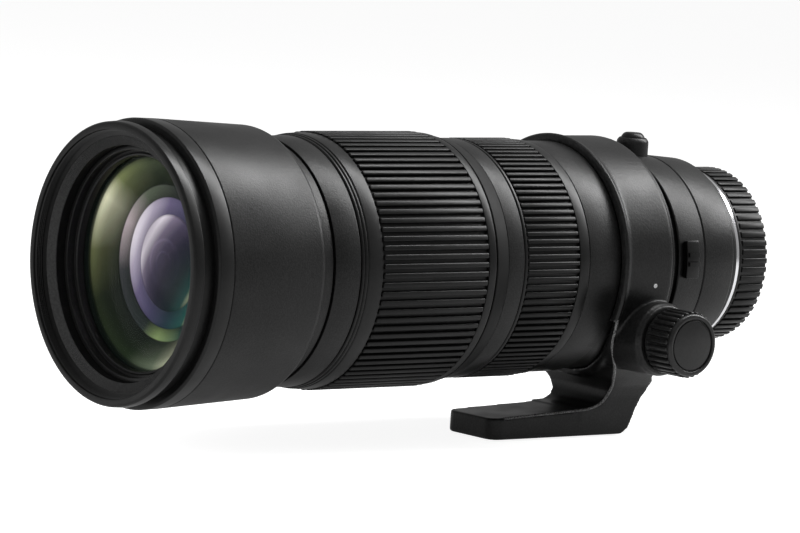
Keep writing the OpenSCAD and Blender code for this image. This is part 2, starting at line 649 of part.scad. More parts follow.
module brake_pad() color("#b08d57") difference() {
    knob_rod(knob_drop, pad_y, 3.25);
    tube(0, collar_in, s_collar - 5, s_collar + collar_w + 5);
}

module clamp_knob() color("#161617") translate([x_knob, -knob_y, -knob_drop]) rotate([90, 0, 0])
    difference() {
        union() {
            cylinder(h = 1.2, r = knob_r - 1);
            translate([0, 0, 1.2]) linear_extrude(knob_len - 2.2) polygon(ribs(knob_ribs, knob_r, 0.9));
            translate([0, 0, knob_len - 1]) cylinder(h = 1, r = knob_r - 0.9);
        }
        translate([0, 0, knob_len - 0.5]) cylinder(h = cut, r = knob_r - 2.2);
        translate([0, 0, -cut]) cylinder(h = 6 + cut, r = 3);
    }

module knob_screw() color("#9a9da2") knob_rod(pad_y + run, knob_y + 6, 2.98);

module mode_switch() color("#161617") {
    sector(pocket_r + run, rear_r + 2.4, s_slider, s_slider + switch_w, -90 - switch_angle,
        2 * switch_half);
    sector(spigot_out + 0.4, pocket_r + 1, s_slider + 2, s_slider + switch_w - 2, -90 - switch_angle, 6);
    for (k = [-1, 0, 1])
        sector(rear_r + 2, rear_r + 2.8, s_slider + 0.4, s_slider + switch_w - 0.4,
            -90 - switch_angle + 3 * k, 1.2);
}

module catch_button() color("#1c1c1e") translate([x_catch, 0, rear_r + 3.1]) difference() {
    union() {
        cylinder(h = button_top - rear_r - 3.6, r = button_r);
        cylinder(h = button_top - rear_r - 3.1, r = button_r - 0.5);
    }
    translate([0, 0, -cut]) cylinder(h = button_top - rear_r - 4.6 + cut, r = 3.2);
}

module rear_cap() color("#1a1a1b") {
    on_axis() translate([0, 0, s_cap]) difference() {
        union() {
            cylinder(h = 1.2, r = cap_r - 0.2);
            translate([0, 0, 1.2]) linear_extrude(cap_len - 2) polygon(ribs(cap_ribs, cap_r, 0.7));
            translate([0, 0, cap_len - 0.8]) cylinder(h = 0.8, r = cap_r - 1);
        }
        translate([0, 0, -cut]) cylinder(h = cap_len - 1.8 + cut, r = cap_r - 2.8);
    }
    for (a = [0, 120, 240])
        sector(bayonet_r + 0.4, cap_r - 2.5, s_cap + 1.4, flange + 4.3, a, 50);
}

filter_ring();
name_ring();
glass_retainer();
front_element();
second_element();
front_cell();
hood_ring();
front_barrel();
neck_ring();
main_tube();
guide_tube();
slope_ring();
scale_ring();
main_barrel();
motor_stator();
iris_housing();
rear_cell();
relay_element();
rear_element();
circuit_board();
switch_barrel();
mount_barrel();
mount_plate();
mount_screws();
rear_baffle();
contact_block();
catch_housing();
catch_spring();
zoom_ring();
zoom_grip();
cam_tube();
variator_cell();
variator_element();
variator_pins();
compensator_cell();
compensator_element();
compensator_pins();
focus_ring();
focus_grip();
focus_cam();
motor_rotor();
focus_cell();
focus_element();
focus_pins();
iris_ring();
blade(0);  // iris_blade_1
blade(1);  // iris_blade_2
blade(2);  // iris_blade_3
blade(3);  // iris_blade_4
blade(4);  // iris_blade_5
blade(5);  // iris_blade_6
blade(6);  // iris_blade_7
tripod_collar();
tripod_bush();
brake_pad();
clamp_knob();
knob_screw();
mode_switch();
catch_button();
rear_cap();
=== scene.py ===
import math
import bmesh
import bpy
from mathutils import Matrix, Vector


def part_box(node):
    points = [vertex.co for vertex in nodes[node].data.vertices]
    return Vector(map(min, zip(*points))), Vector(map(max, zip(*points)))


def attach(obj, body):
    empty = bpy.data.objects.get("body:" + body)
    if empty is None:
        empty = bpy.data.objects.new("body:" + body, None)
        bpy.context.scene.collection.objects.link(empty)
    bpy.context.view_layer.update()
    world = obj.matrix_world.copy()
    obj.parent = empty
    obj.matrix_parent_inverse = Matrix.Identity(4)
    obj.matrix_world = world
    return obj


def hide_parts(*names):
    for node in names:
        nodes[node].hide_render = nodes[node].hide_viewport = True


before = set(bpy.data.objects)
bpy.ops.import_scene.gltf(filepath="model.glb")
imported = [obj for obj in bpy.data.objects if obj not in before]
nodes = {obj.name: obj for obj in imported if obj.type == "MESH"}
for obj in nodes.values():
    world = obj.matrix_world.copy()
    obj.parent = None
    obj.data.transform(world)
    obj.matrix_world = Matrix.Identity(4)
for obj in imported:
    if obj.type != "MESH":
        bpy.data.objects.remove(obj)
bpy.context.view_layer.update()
mm = 0.001
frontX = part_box("filter_ring")[0].x  # stations are counted from the front rim
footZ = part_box("tripod_collar")[0].z
ringSteps = 256
mergeGap = 1e-7
print("frame loaded,", len(nodes), "nodes")


# the photographed view
shot = {
    "imageSize": (800, 533),
    "focalPixels": 4620,
    "rimPixel": (109.9, 264.35),  # centre of the front rim
    "rimDepth": 1.4025,
    "axisAngle": 51,  # between the view and the optical axis
    "axisSlope": -0.021,
    "sideDip": 0.122,  # how far the near side direction drops in the image
    "sensor": 36,
}


def makeCamera(s):
    w, h = s["imageSize"]
    angle = math.radians(s["axisAngle"])
    along = Vector((math.sin(angle), math.sin(angle) * s["axisSlope"], math.cos(angle))).normalized()
    side = Vector((math.cos(angle), s["sideDip"], -math.sin(angle)))
    side = (side - along * side.dot(along)).normalized()
    turn = Matrix((along, -side, side.cross(along))).transposed()  # lens frame to view frame
    u, v = s["rimPixel"]
    rim = Vector(((u - w / 2) / s["focalPixels"], (v - h / 2) / s["focalPixels"], 1)) * s["rimDepth"]
    shift = rim - turn @ Vector((frontX, 0, 0))
    back = turn.transposed()
    data = bpy.data.cameras.new("shotCamera")
    data.sensor_width = s["sensor"]
    data.lens = s["focalPixels"] / w * s["sensor"]
    data.clip_start = 0.05
    camera = bpy.data.objects.new("shotCamera", data)
    rows = Matrix((back @ Vector((1, 0, 0)), back @ Vector((0, -1, 0)), back @ Vector((0, 0, -1))))
    camera.matrix_world = Matrix.Translation(back @ -shift) @ rows.transposed().to_4x4()
    bpy.context.scene.collection.objects.link(camera)
    bpy.context.scene.camera = camera


makeCamera(shot)
print("camera set")


# shader helpers
def startMaterial(name):
    mat = bpy.data.materials.new(name)
    mat.use_nodes = True
    tree = mat.node_tree
    return mat, tree, tree.nodes["Principled BSDF"]


def addNode(tree, kind, inputs=None, **settings):
    made = tree.nodes.new(kind)
    for key, value in settings.items():
        setattr(made, key, value)
    for key, value in (inputs or {}).items():
        if isinstance(value, bpy.types.NodeSocket):
            tree.links.new(value, made.inputs[key])
        else:
            made.inputs[key].default_value = value
    return made


def objectSpot(tree):
    return addNode(tree, "ShaderNodeTexCoord").outputs["Object"]


def ramp(tree, factor, stops):
    made = addNode(tree, "ShaderNodeValToRGB", {"Fac": factor})
    band = made.color_ramp
    while len(band.elements) < len(stops):
        band.elements.new(0.5)
    for element, (place, colour) in zip(band.elements, stops):
        element.position = place
        element.color = (*colour, 1) if len(colour) == 3 else colour
    return made.outputs["Color"]


def grey(value):
    return (value, value, value)


def noise(tree, spot, scale, detail):
    made = addNode(tree, "ShaderNodeTexNoise", {"Vector": spot, "Scale": scale, "Detail": detail})
    return made.outputs["Fac"]


def paintedFinish(name, look):
    mat, tree, shader = startMaterial(name)
    spot = objectSpot(tree)
    grain = noise(tree, spot, look["grain"], 2.0)
    cloud = noise(tree, spot, 60.0, 3.0)
    dark, pale = look["tones"]
    tone = ramp(tree, grain, [(0.35, grey(dark)), (0.72, grey(pale))])
    tree.links.new(tone, shader.inputs["Base Color"])
    lowRough, highRough = look["rough"]
    rough = addNode(tree, "ShaderNodeMapRange", {"Value": cloud, "From Min": 0.35,
                                                 "From Max": 0.65, "To Min": lowRough, "To Max": highRough})
    tree.links.new(rough.outputs["Result"], shader.inputs["Roughness"])
    if "wearHighlight" in look:  # paint rubbed thin along the outer edges, lightened there as a painted highlight
        pointed = addNode(tree, "ShaderNodeNewGeometry").outputs["Pointiness"]
        edges = ramp(tree, pointed, [(0.54, grey(0)), (0.6, grey(1))])
        rubbedHighlight = (*grey(look["wearHighlight"]), 1)
        rubbedAndLit = addNode(tree, "ShaderNodeMix", {"Factor": edges, 6: tone, 7: rubbedHighlight}, data_type="RGBA")
        tree.links.new(rubbedAndLit.outputs[2], shader.inputs["Base Color"])
    bump = addNode(tree, "ShaderNodeBump", {"Height": grain, "Strength": look["bump"],
                                            "Distance": look["depth"] * mm})
    tree.links.new(bump.outputs["Normal"], shader.inputs["Normal"])
    shader.inputs["Specular IOR Level"].default_value = look["gloss"]
    return mat


speckle = paintedFinish("speckledPaint", {"grain": 1900.0, "tones": (0.002, 0.012), "rough": (0.34, 0.44),
                                          "bump": 0.5, "depth": 0.1, "gloss": 0.24})
satin = paintedFinish("satinPaint", {"grain": 900.0, "tones": (0.003, 0.005), "rough": (0.3, 0.4),
                                     "bump": 0.08, "depth": 0.05, "gloss": 0.24})
rubber = paintedFinish("gripRubber", {"grain": 1500.0, "tones": (0.002, 0.005), "rough": (0.36, 0.46),
                                      "bump": 0.2, "depth": 0.08, "gloss": 0.2})
matteBlack = paintedFinish("matteBlack", {"grain": 1200.0, "tones": (0.002, 0.003), "rough": (0.5, 0.6),
                                          "bump": 0.15, "depth": 0.06, "gloss": 0.15})
# cast paint whose sharp edges are lightened as wear and painted highlight
castPaint = paintedFinish("castPaint", {"grain": 1500.0, "tones": (0.002, 0.01), "rough": (0.34, 0.44),
                                        "bump": 0.45, "depth": 0.1, "gloss": 0.24, "wearHighlight": 0.12})
capPlastic = paintedFinish("capPlastic", {"grain": 1100.0, "tones": (0.002, 0.004), "rough": (0.36, 0.46),
                                          "bump": 0.12, "depth": 0.06, "gloss": 0.24})
knobPlastic = paintedFinish("knobPlastic", {"grain": 900.0, "tones": (0.004, 0.008), "rough": (0.28, 0.36),
                                            "bump": 0.06, "depth": 0.05, "gloss": 0.35})
bandPaint = paintedFinish("bandPaint", {"grain": 1500.0, "tones": (0.02, 0.035), "rough": (0.4, 0.5),
                                        "bump": 0.1, "depth": 0.05, "gloss": 0.3})
# pale worn edge paint, bright enough to act as a painted highlight where the edge lies in shade
wornHighlightPaint = paintedFinish("wornHighlightPaint", {"grain": 2200.0, "tones": (0.02, 0.3), "rough": (0.34, 0.44),
                                        "bump": 0.4, "depth": 0.1, "gloss": 0.3})
dotWhite = paintedFinish("dotWhite", {"grain": 1500.0, "tones": (0.75, 0.85), "rough": (0.5, 0.6),
                                      "bump": 0.05, "depth": 0.02, "gloss": 0.4})


def metalFinish(name, colour, rough):
    mat, tree, shader = startMaterial(name)
    spot = objectSpot(tree)
    stretch = addNode(tree, "ShaderNodeMapping", {"Vector": spot, "Scale": (4000.0, 120.0, 120.0)})
    turned = noise(tree, stretch.outputs["Vector"], 1.0, 2.0)
    tone = ramp(tree, turned, [(0.3, [c * 0.8 for c in colour]), (0.7, colour)])
    tree.links.new(tone, shader.inputs["Base Color"])
    spread = addNode(tree, "ShaderNodeMapRange", {"Value": turned, "To Min": rough * 0.8,
                                                  "To Max": rough * 1.2})
    tree.links.new(spread.outputs["Result"], shader.inputs["Roughness"])
    shader.inputs["Metallic"].default_value = 1
    return mat


chrome = metalFinish("chromePlate", (0.78, 0.78, 0.8), 0.16)
steel = metalFinish("turnedSteel", (0.55, 0.55, 0.57), 0.3)
alloy = metalFinish("machinedAlloy", (0.5, 0.5, 0.52), 0.35)
brass = metalFinish("machinedBrass", (0.62, 0.46, 0.2), 0.3)
blueSteel = metalFinish("blackenedSteel", (0.08, 0.08, 0.085), 0.4)
boardGreen = paintedFinish("boardGreen", {"grain": 500.0, "tones": (0.02, 0.03), "rough": (0.35, 0.45),
                                          "bump": 0.1, "depth": 0.05, "gloss": 0.5})
print("materials ready")


# mesh helpers
lensAxis = {"origin": Vector((frontX, 0, 0)), "axis": Vector((1, 0, 0)), "up": Vector((0, 0, 1))}


def turnShape(bm, outline, spindle=lensAxis, steps=ringSteps, angle=math.tau):
    origin, axis, up = spindle["origin"], spindle["axis"], spindle["up"]
    verts = [bm.verts.new(origin + axis * (s * mm) + up * (r * mm)) for s, r, soft in outline]
    bm.faces.new(verts)
    made = set(verts)
    for vert, (s, r, soft) in zip(verts, outline):
        if soft:
            bent = bmesh.ops.bevel(bm, geom=[vert], offset=soft * mm, offset_type="OFFSET", segments=3,
                                   profile=0.5, affect="VERTICES", material=-1)
            made.update(bent["verts"])
    verts = [v for v in made if v.is_valid]
    edges = list({e for v in verts for e in v.link_edges})
    faces = list({f for v in verts for f in v.link_faces})
    closed = angle == math.tau
    if closed:
        bmesh.ops.delete(bm, geom=faces, context="FACES_ONLY")
        faces = []
    bmesh.ops.spin(bm, geom=verts + edges + faces, cent=origin, axis=axis, angle=angle, steps=steps,
                   use_merge=closed)
    bmesh.ops.remove_doubles(bm, verts=bm.verts[:], dist=mergeGap)
    bmesh.ops.recalc_face_normals(bm, faces=bm.faces[:])


def finishPiece(name, bm, body, mat, stands=(), sharp=40):
    mesh = bpy.data.meshes.new(name)
    bm.to_mesh(mesh)
    bm.free()
    mesh.shade_smooth()
    mesh.set_sharp_from_angle(angle=math.radians(sharp))
    mesh.materials.append(mat)
    piece = bpy.data.objects.new(name, mesh)
    bpy.context.scene.collection.objects.link(piece)
    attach(piece, body)
    if stands:
        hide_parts(*stands)
    return piece


def ringPiece(name, outline, body, mat, stands=()):
    bm = bmesh.new()
    turnShape(bm, outline)
    finishPiece(name, bm, body, mat, stands)


def addRibs(bm, rib, spindle=lensAxis):
    # one bevelled bar, copied round the spindle
    origin, axis, up = spindle["origin"], spindle["axis"], spindle["up"]
    turned = Matrix((axis, axis.cross(up), up)).transposed().to_4x4()
    rise = rib["top"] - rib["height"] / 2
    place = Matrix.Translation(origin + axis * (rib["middle"] * mm) + up * (rise * mm))
    size = Matrix.Diagonal((rib["length"] * mm, rib["width"] * mm, rib["height"] * mm, 1))
    bar = bmesh.ops.create_cube(bm, size=1, matrix=place @ turned @ size)["verts"]
    edges = list({e for v in bar for e in v.link_edges})
    made = bmesh.ops.bevel(bm, geom=edges, offset=rib["soft"] * mm, offset_type="OFFSET", segments=2,
                           profile=0.5, affect="EDGES", material=-1)
    island = {v for f in made["faces"] for v in f.verts}
    geom = [f for f in bm.faces if all(v in island for v in f.verts)]
    bmesh.ops.recalc_face_normals(bm, faces=geom)
    bmesh.ops.spin(bm, geom=geom, cent=origin, axis=axis, use_duplicate=True,
                   angle=math.tau * (rib["count"] - 1) / rib["count"], steps=rib["count"] - 1)


def useNode(name, mat):
    piece = nodes[name]
    piece.data.materials.clear()
    piece.data.materials.append(mat)


# front rim, with the filter thread inside and the hood groove behind
rim = {"bore": 40.6, "root": 41.0, "outer": 43.5, "threadStart": 0.6, "pitch": 0.6, "turns": 5}
outline = [(0.0, rim["root"] + 0.1, 0.15), (0.0, 42.9, 0.25), (0.6, rim["outer"], 0.25), (3.5, 43.7, 0.25),
           (3.65, 42.0, 0.1), (8.3, 42.0, 0), (8.3, 41.25, 0), (13.3, 41.25, 0), (13.3, 39.1, 0), (3.6, 39.1, 0)]
for turn in reversed(range(rim["turns"])):
    root = rim["threadStart"] + turn * rim["pitch"]
    outline.append((root + rim["pitch"] * 0.75, rim["bore"], 0))
    outline.append((root + rim["pitch"] * 0.25, rim["root"], 0))
ringPiece("filterRing", outline, "barrel", satin, ["filter_ring"])

# bare front ring: a black bore, and a sloped face with fine turned ridges
band = {"outer": 39.05, "bore": 36.3, "front": 3.65, "rear": 5.2, "end": 13.3,
        "ridges": 20, "height": 0.2, "skin": 0.3}
outline = [(band["end"], band["bore"], 0), (band["end"], band["outer"], 0),
           (band["front"] + band["skin"], band["outer"], 0), (band["rear"] + band["skin"], band["bore"], 0)]
ringPiece("nameRing", outline, "barrel", matteBlack, ["name_ring"])
outline = [(band["rear"] + band["skin"], band["bore"], 0), (band["front"] + band["skin"], band["outer"], 0)]
for ridge in range(band["ridges"] + 1):
    share = ridge / band["ridges"]
    lift = band["height"] if ridge % 2 else 0
    outline.append((band["front"] + (band["rear"] - band["front"]) * share + lift,
                    band["outer"] + (band["bore"] - band["outer"]) * share, 0))
ringPiece("nameBand", outline, "barrel", bandPaint)

outline = [(8.4, 34.8, 0.2), (8.4, 36.25, 0.2), (13.3, 36.25, 0), (13.3, 33.0, 0), (11.0, 33.0, 0.25),
           (10.8, 33.7, 0.2), (11.2, 34.0, 0.1), (11.2, 34.8, 0.1)]
ringPiece("glassRetainer", outline, "barrel", satin, ["glass_retainer"])

# outer shells
outline = [(8.3, 41.3, 0), (8.3, 44.05, 0.25), (8.9, 44.65, 0.25), (13.95, 44.5, 0.15), (14.0, 41.3, 0)]
ringPiece("hoodRing", outline, "barrel", satin, ["hood_ring"])

outline = [(14.15, 41.3, 0), (14.15, 44.25, 0.15), (14.45, 44.5, 0.15), (49.1, 42.63, 0.6), (50.1, 42.1, 0.3),
           (50.5, 41.5, 0.1), (50.5, 41.3, 0)]
ringPiece("frontBarrel", outline, "barrel", speckle, ["front_barrel"])

outline = [(43.7, 37.3, 0), (43.7, 41.2, 0), (50.4, 41.2, 0), (50.5, 38.6, 0), (56.0, 38.6, 0.1), (56.0, 37.8, 0),
           (56.6, 37.8, 0), (56.6, 39.1, 0.2), (66.1, 39.4, 0.2), (66.4, 39.1, 0.1), (66.4, 35.5, 0), (47.7, 35.5, 0),
           (47.7, 37.3, 0)]
ringPiece("neckRing", outline, "barrel", speckle, ["neck_ring"])

# zoom ring: two thin bright beads ahead of the smooth band
outline = [(66.7, 35.75, 0), (66.7, 39.0, 0.1), (67.0, 39.6, 0.12), (67.6, 39.6, 0.12), (67.8, 39.3, 0.05),
           (68.1, 39.9, 0.12), (68.7, 39.9, 0.12), (68.9, 39.6, 0.05), (69.2, 40.1, 0.2), (74.3, 40.3, 0.2),
           (74.3, 38.9, 0), (116.8, 38.9, 0), (116.8, 40.45, 0.2), (119.6, 40.35, 0.3), (120.1, 39.85, 0.2),
           (120.1, 35.75, 0)]
ringPiece("zoomRing", outline, "zoom", satin, ["zoom_ring"])


gripRib = {"land": 0.58, "endGap": 0.5, "root": 0.3, "soft": 0.34}


def gripPiece(name, grip, body, stands):
    bm = bmesh.new()
    turnShape(bm, [(grip["start"], grip["seat"], 0), (grip["start"], grip["floor"], 0.1),
                   (grip["end"], grip["floor"], 0.1), (grip["end"], grip["seat"], 0)])
    pitch = math.tau * grip["top"] / grip["count"]
    addRibs(bm, {"middle": (grip["start"] + grip["end"]) / 2, "length": grip["end"] - grip["start"] - gripRib["endGap"],
                 "width": pitch * gripRib["land"], "height": grip["top"] - grip["floor"] + gripRib["root"],
                 "top": grip["top"], "soft": gripRib["soft"], "count": grip["count"]})
    finishPiece(name, bm, body, rubber, stands, sharp=50)


gripPiece("zoomGrip", {"start": 74.4, "end": 116.7, "seat": 38.9, "floor": 39.6, "top": 40.75,
                       "count": 88}, "zoom", ["zoom_grip"])
gripPiece("focusGrip", {"start": 134.3, "end": 156.2, "seat": 37.1, "floor": 37.6, "top": 38.7,
                        "count": 100}, "focus", ["focus_grip"])

outline = [(120.4, 35.5, 0), (120.4, 39.8, 0.2), (120.7, 40.0, 0.2), (126.05, 38.75, 0.1), (126.1, 35.5, 0)]
ringPiece("slopeRing", outline, "barrel", matteBlack, ["slope_ring"])

outline = [(126.15, 35.5, 0), (126.15, 38.3, 0), (126.4, 38.6, 0.1), (132.6, 38.6, 0.1), (132.9, 38.3, 0),
           (132.9, 35.5, 0)]
ringPiece("scaleRing", outline, "barrel", speckle, ["scale_ring"])

outline = [(133.2, 35.75, 0), (133.2, 38.2, 0.1), (133.5, 38.5, 0.1), (134.2, 38.5, 0.1), (134.2, 37.1, 0),
           (156.3, 37.1, 0), (156.3, 38.4, 0.15), (160.3, 38.2, 0.15), (160.6, 37.9, 0.1), (160.6, 35.75, 0)]
ringPiece("focusRing", outline, "focus", satin, ["focus_ring"])

outline = [(160.9, 35.5, 0), (160.9, 37.4, 0.1), (161.2, 37.7, 0.1), (174.1, 37.7, 0.15), (174.1, 36.9, 0),
           (195.9, 36.9, 0), (195.9, 38.1, 0.2), (197.1, 38.1, 0.2), (197.1, 32.6, 0.2), (203.0, 32.6, 0),
           (203.0, 30.4, 0), (210.2, 30.4, 0), (210.2, 28.6, 0), (188.1, 28.6, 0), (188.1, 33.45, 0),
           (169.9, 33.45, 0), (169.9, 35.5, 0)]
ringPiece("mainBarrel", outline, "barrel", speckle, ["main_barrel"])

outline = [(214.95, 30.45, 0), (214.95, 32.85, 0), (215.4, 33.25, 0.1), (228.5, 32.2, 0.3), (229.0, 31.7, 0.2),
           (229.0, 29.7, 0), (232.5, 29.6, 0.1), (232.5, 29.42, 0), (228.95, 29.42, 0), (228.95, 23.4, 0),
           (225.4, 23.4, 0), (225.4, 26.6, 0), (220.0, 26.6, 0), (220.0, 30.45, 0)]
ringPiece("mountBarrel", outline, "barrel", speckle, ["mount_barrel"])


def capPiece():
    cap = {"start": 234.5, "end": 247.7, "bore": 26.4, "lip": 28.8, "floor": 28.3, "top": 29.0, "wall": 1.8,
           "count": 61, "land": 0.6}
    inner = cap["end"] - cap["wall"]
    bm = bmesh.new()
    turnShape(bm, [(cap["start"], cap["bore"], 0), (cap["start"], cap["lip"], 0.3),
                   (cap["start"] + 1.2, cap["lip"], 0.2),
                   (cap["start"] + 1.3, cap["floor"], 0.1), (cap["end"] - 0.9, cap["floor"], 0.1),
                   (cap["end"], cap["floor"] - 0.6, 0.5), (cap["end"], 0.0, 0), (inner, 0.0, 0),
                   (inner, cap["bore"], 0)])
    addRibs(bm, {"middle": (cap["start"] + cap["end"]) / 2 + 0.4, "length": cap["end"] - cap["start"] - 2.2,
                 "width": math.tau * cap["top"] / cap["count"] * cap["land"], "height": 1.2,
                 "top": cap["top"], "soft": 0.25, "count": cap["count"]})
    finishPiece("rearCap", bm, "cap", capPlastic, ["rear_cap"], sharp=50)


capPiece()
print("rings ready")


# switch barrel and the slider on it
slider = {"angle": 4, "half": 10, "start": 204.9, "end": 210.2, "base": 33.82, "slope": -0.29, "top": 35.8,
          "soft": 0.25, "fold": 1, "steps": 16}
sliderRidge = {"height": 0.85, "sink": 0.2, "inset": 0.3, "soft": 0.25, "offset": 2.4, "span": 2.2, "steps": 3}


def spindleAt(degrees):
    # the lens axis with its start on the near side, this far above level
    a = math.radians(degrees)
    return {**lensAxis, "up": Vector((0, -math.cos(a), math.sin(a)))}


def switchPieces():
    outline = [(203.0, 30.45, 0), (203.0, 33.55, 0.1), (203.4, 33.85, 0.1), (214.5, 33.25, 0.1),
               (214.9, 32.9, 0), (214.9, 30.9, 0), (215.0, 30.9, 0), (215.0, 30.4, 0), (220.0, 30.4, 0),
               (220.0, 28.6, 0), (213.7, 28.6, 0), (213.7, 30.45, 0)]
    ringPiece("switchBarrel", outline, "barrel", speckle, ["switch_barrel"])
    bm = bmesh.new()
    block = [(slider["start"], slider["base"], 0), (slider["start"], slider["top"], 0.3),
             (slider["end"], slider["top"], 0.3), (slider["end"], slider["base"] + slider["slope"], 0)]
    turnShape(bm, block, spindleAt(slider["angle"] + slider["half"]), slider["steps"],
              math.radians(2 * slider["half"]))
    edges = [e for e in bm.edges if len(e.link_faces) == 2 and e.calc_face_angle() > slider["fold"]]
    bmesh.ops.bevel(bm, geom=edges, offset=slider["soft"] * mm, offset_type="OFFSET", segments=2, profile=0.5,
                    affect="EDGES", material=-1)
    start, end = slider["start"] + sliderRidge["inset"], slider["end"] - sliderRidge["inset"]
    low, high = slider["top"] - sliderRidge["sink"], slider["top"] + sliderRidge["height"]
    soft, span = sliderRidge["soft"], sliderRidge["span"]
    bar = [(start, low, 0), (start, high, soft), (end, high, soft), (end, low, 0)]
    for side in (-1, 1):  # two grip ridges across the slider
        angle = slider["angle"] + sliderRidge["offset"] * side + span / 2
        turnShape(bm, bar, spindleAt(angle), sliderRidge["steps"], math.radians(span))
    finishPiece("modeSwitch", bm, "switch", satin, ["mode_switch"])


switchPieces()


# lock catch on top: a low round housing with a dished button
def catchPieces():
    catch = {"place": -24.8, "steps": 64}
    spindle = {"origin": Vector((catch["place"] * mm, 0, 0)), "axis": Vector((0, 0, 1)), "up": Vector((1, 0, 0))}
    outline = [(32.0, 4.25, 0), (32.0, 5.3, 0), (37.9, 5.3, 0.5), (39.0, 4.5, 0.3), (39.0, 4.25, 0)]
    bm = bmesh.new()
    turnShape(bm, outline, spindle, catch["steps"])
    finishPiece("catchHousing", bm, "barrel", speckle, ["catch_housing"])
    outline = [(36.95, 0, 0), (36.95, 3.9, 0), (39.3, 3.9, 0.3), (40.3, 3.2, 0.4), (40.7, 2.4, 0.2), (40.5, 0, 0)]
    bm = bmesh.new()
    turnShape(bm, outline, spindle, catch["steps"])
    finishPiece("catchButton", bm, "catch", satin, ["catch_button"])


catchPieces()


# clamp knob: a ribbed skirt, a smooth front ring and an inset disc
def knobPiece():
    knob = {"place": Vector((-43.6 * mm, 0, -22.5 * mm)), "base": 44.0, "face": 56.5, "top": 10.7, "floor": 9.6,
            "bore": 3.0, "boreDepth": 6, "steps": 128, "count": 30, "land": 0.55}
    spindle = {"origin": knob["place"], "axis": Vector((0, -1, 0)), "up": Vector((0, 0, 1))}
    base, face = knob["base"], knob["face"]
    bm = bmesh.new()
    bottom = base + knob["boreDepth"]
    turnShape(bm, [(base, knob["bore"], 0), (base, 9.7, 0.2), (base + 1.2, 9.7, 0.1),
                   (base + 1.4, knob["floor"], 0.1), (face - 1.6, knob["floor"], 0.1), (face - 1.4, 10.2, 0.15),
                   (face - 0.3, 10.0, 0.3), (face, 9.4, 0.2), (face, 8.6, 0.12), (face - 0.7, 8.4, 0.05),
                   (face - 0.7, 8.15, 0.05), (face - 0.25, 7.9, 0.15), (face - 0.15, 0, 0),
                   (bottom, 0, 0), (bottom, knob["bore"], 0)], spindle, knob["steps"])
    addRibs(bm, {"middle": (base + 1.3 + face - 1.2) / 2, "length": face - base - 2.6,
                 "width": math.tau * knob["top"] / knob["count"] * knob["land"], "height": 1.6,
                 "top": knob["top"], "soft": 0.3, "count": knob["count"]}, spindle)
    finishPiece("clampKnob", bm, "knob", knobPlastic, ["clamp_knob"], sharp=50)


knobPiece()


# tripod collar: the cast solid with its edges softened
def castCollar():
    cast = {"voxel": 0.5 * mm, "pull": 0.5, "passes": 8}
    bm = bmesh.new()
    bm.from_mesh(nodes["tripod_collar"].data)
    bmesh.ops.remove_doubles(bm, verts=bm.verts[:], dist=mergeGap)
    piece = finishPiece("castCollar", bm, "collar", castPaint, ["tripod_collar"], sharp=180)
    remesh = piece.modifiers.new("remesh", "REMESH")
    remesh.mode = "VOXEL"
    remesh.voxel_size = cast["voxel"]
    remesh.use_smooth_shade = True
    soften = piece.modifiers.new("soften", "SMOOTH")
    soften.factor = cast["pull"]
    soften.iterations = cast["passes"]


castCollar()


def collarLip():
    # the raised front lip, which ends where the lower front of the collar is cut back
    lip = {"end": -25.5, "steps": 160}
    outline = [(174.7, 39.0, 0), (174.75, 39.9, 0.2), (175.2, 40.3, 0.2), (175.9, 40.2, 0.25), (176.6, 39.3, 0)]
    bm = bmesh.new()
    turnShape(bm, outline, spindleAt(lip["end"]), lip["steps"], math.radians(2 * lip["end"] - 180))
    finishPiece("collarLip", bm, "collar", castPaint)


collarLip()


def edgeBead():
    # route on the near side: collar edge, leg edge, then the plate's top edge
    bead = {"radius": 0.45, "route": [
        (-58.8, -36.4, -16.4), (-58, -35, -19.5), (-55.9, -31.2, -25), (-53.4, -29.3, -29), (-50.2, -27.2, -32.8),
        (-47.3, -24, -36), (-44.6, -20.6, -38.6), (-42.4, -18.2, -40.4), (-41.1, -15.5, -43), (-41.3, -13.9, -45.6),
        (-42.8, -13, -47.7), (-46, -12.4, -49.2), (-52, -12.1, -49.8), (-66, -12, -50.4), (-83, -11.9, -51.3)]}
    line = bpy.data.curves.new("edgeBead", "CURVE")
    line.dimensions = "3D"
    line.bevel_depth = bead["radius"] * mm
    line.bevel_resolution = 3
    line.use_fill_caps = True
    spline = line.splines.new("NURBS")
    spline.points.add(len(bead["route"]) - 1)
    for point, place in zip(spline.points, bead["route"]):
        point.co = (*(c * mm for c in place), 1)
    spline.order_u = 3
    spline.use_endpoint_u = True
    # the bead is worn edge and painted highlight in one, so it stays bright in the collar's shade
    line.materials.append(wornHighlightPaint)
    piece = bpy.data.objects.new("edgeBead", line)
    bpy.context.scene.collection.objects.link(piece)
    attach(piece, "collar")


edgeBead()


def indexDot():
    dot = {"station": 188.4, "drop": 5.3, "radius": 0.75, "taper": 0.9, "height": 0.3, "stand": 39.5, "sides": 24}
    side = Vector((0, -math.sqrt(dot["stand"] ** 2 - dot["drop"] ** 2), -dot["drop"])) * mm
    place = Matrix.Translation(side + Vector((frontX + dot["station"] * mm, 0, 0)))
    turn = side.to_track_quat("Z", "X").to_matrix().to_4x4()
    bm = bmesh.new()
    bmesh.ops.create_cone(bm, cap_ends=True, segments=dot["sides"], radius1=dot["radius"] * mm,
                          radius2=dot["radius"] * dot["taper"] * mm, depth=dot["height"] * mm, matrix=place @ turn)
    finishPiece("indexDot", bm, "collar", dotWhite)


indexDot()
print("fittings ready")
